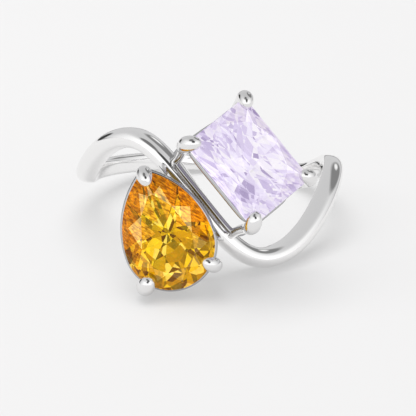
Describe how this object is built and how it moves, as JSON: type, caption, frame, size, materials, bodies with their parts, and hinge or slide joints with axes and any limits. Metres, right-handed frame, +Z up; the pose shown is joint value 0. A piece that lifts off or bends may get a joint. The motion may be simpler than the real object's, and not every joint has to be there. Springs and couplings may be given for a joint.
{
  "type": "toi et moi ring",
  "caption": "Ring with a waved band and two claw-set stones side by side, a pear and a cut-corner rectangle, lying as it rests on a surface.",
  "frame": {"origin": "on the surface that the ring rests on, under the middle of its box", "axes": "+Z up from that surface, -Y to the front where the stones face, +X to the right"},
  "size_m": [0.0206, 0.0252, 0.0138],
  "materials": {
    "white_metal": "polished silver-white metal",
    "yellow_stone": "faceted, polished, golden yellow",
    "lilac_stone": "faceted, polished, pale lilac"
  },
  "bodies": {
    "root": {"band_and_settings": "white_metal", "pear_stone": "yellow_stone", "octagon_stone": "lilac_stone"}
  },
  "joints": []
}
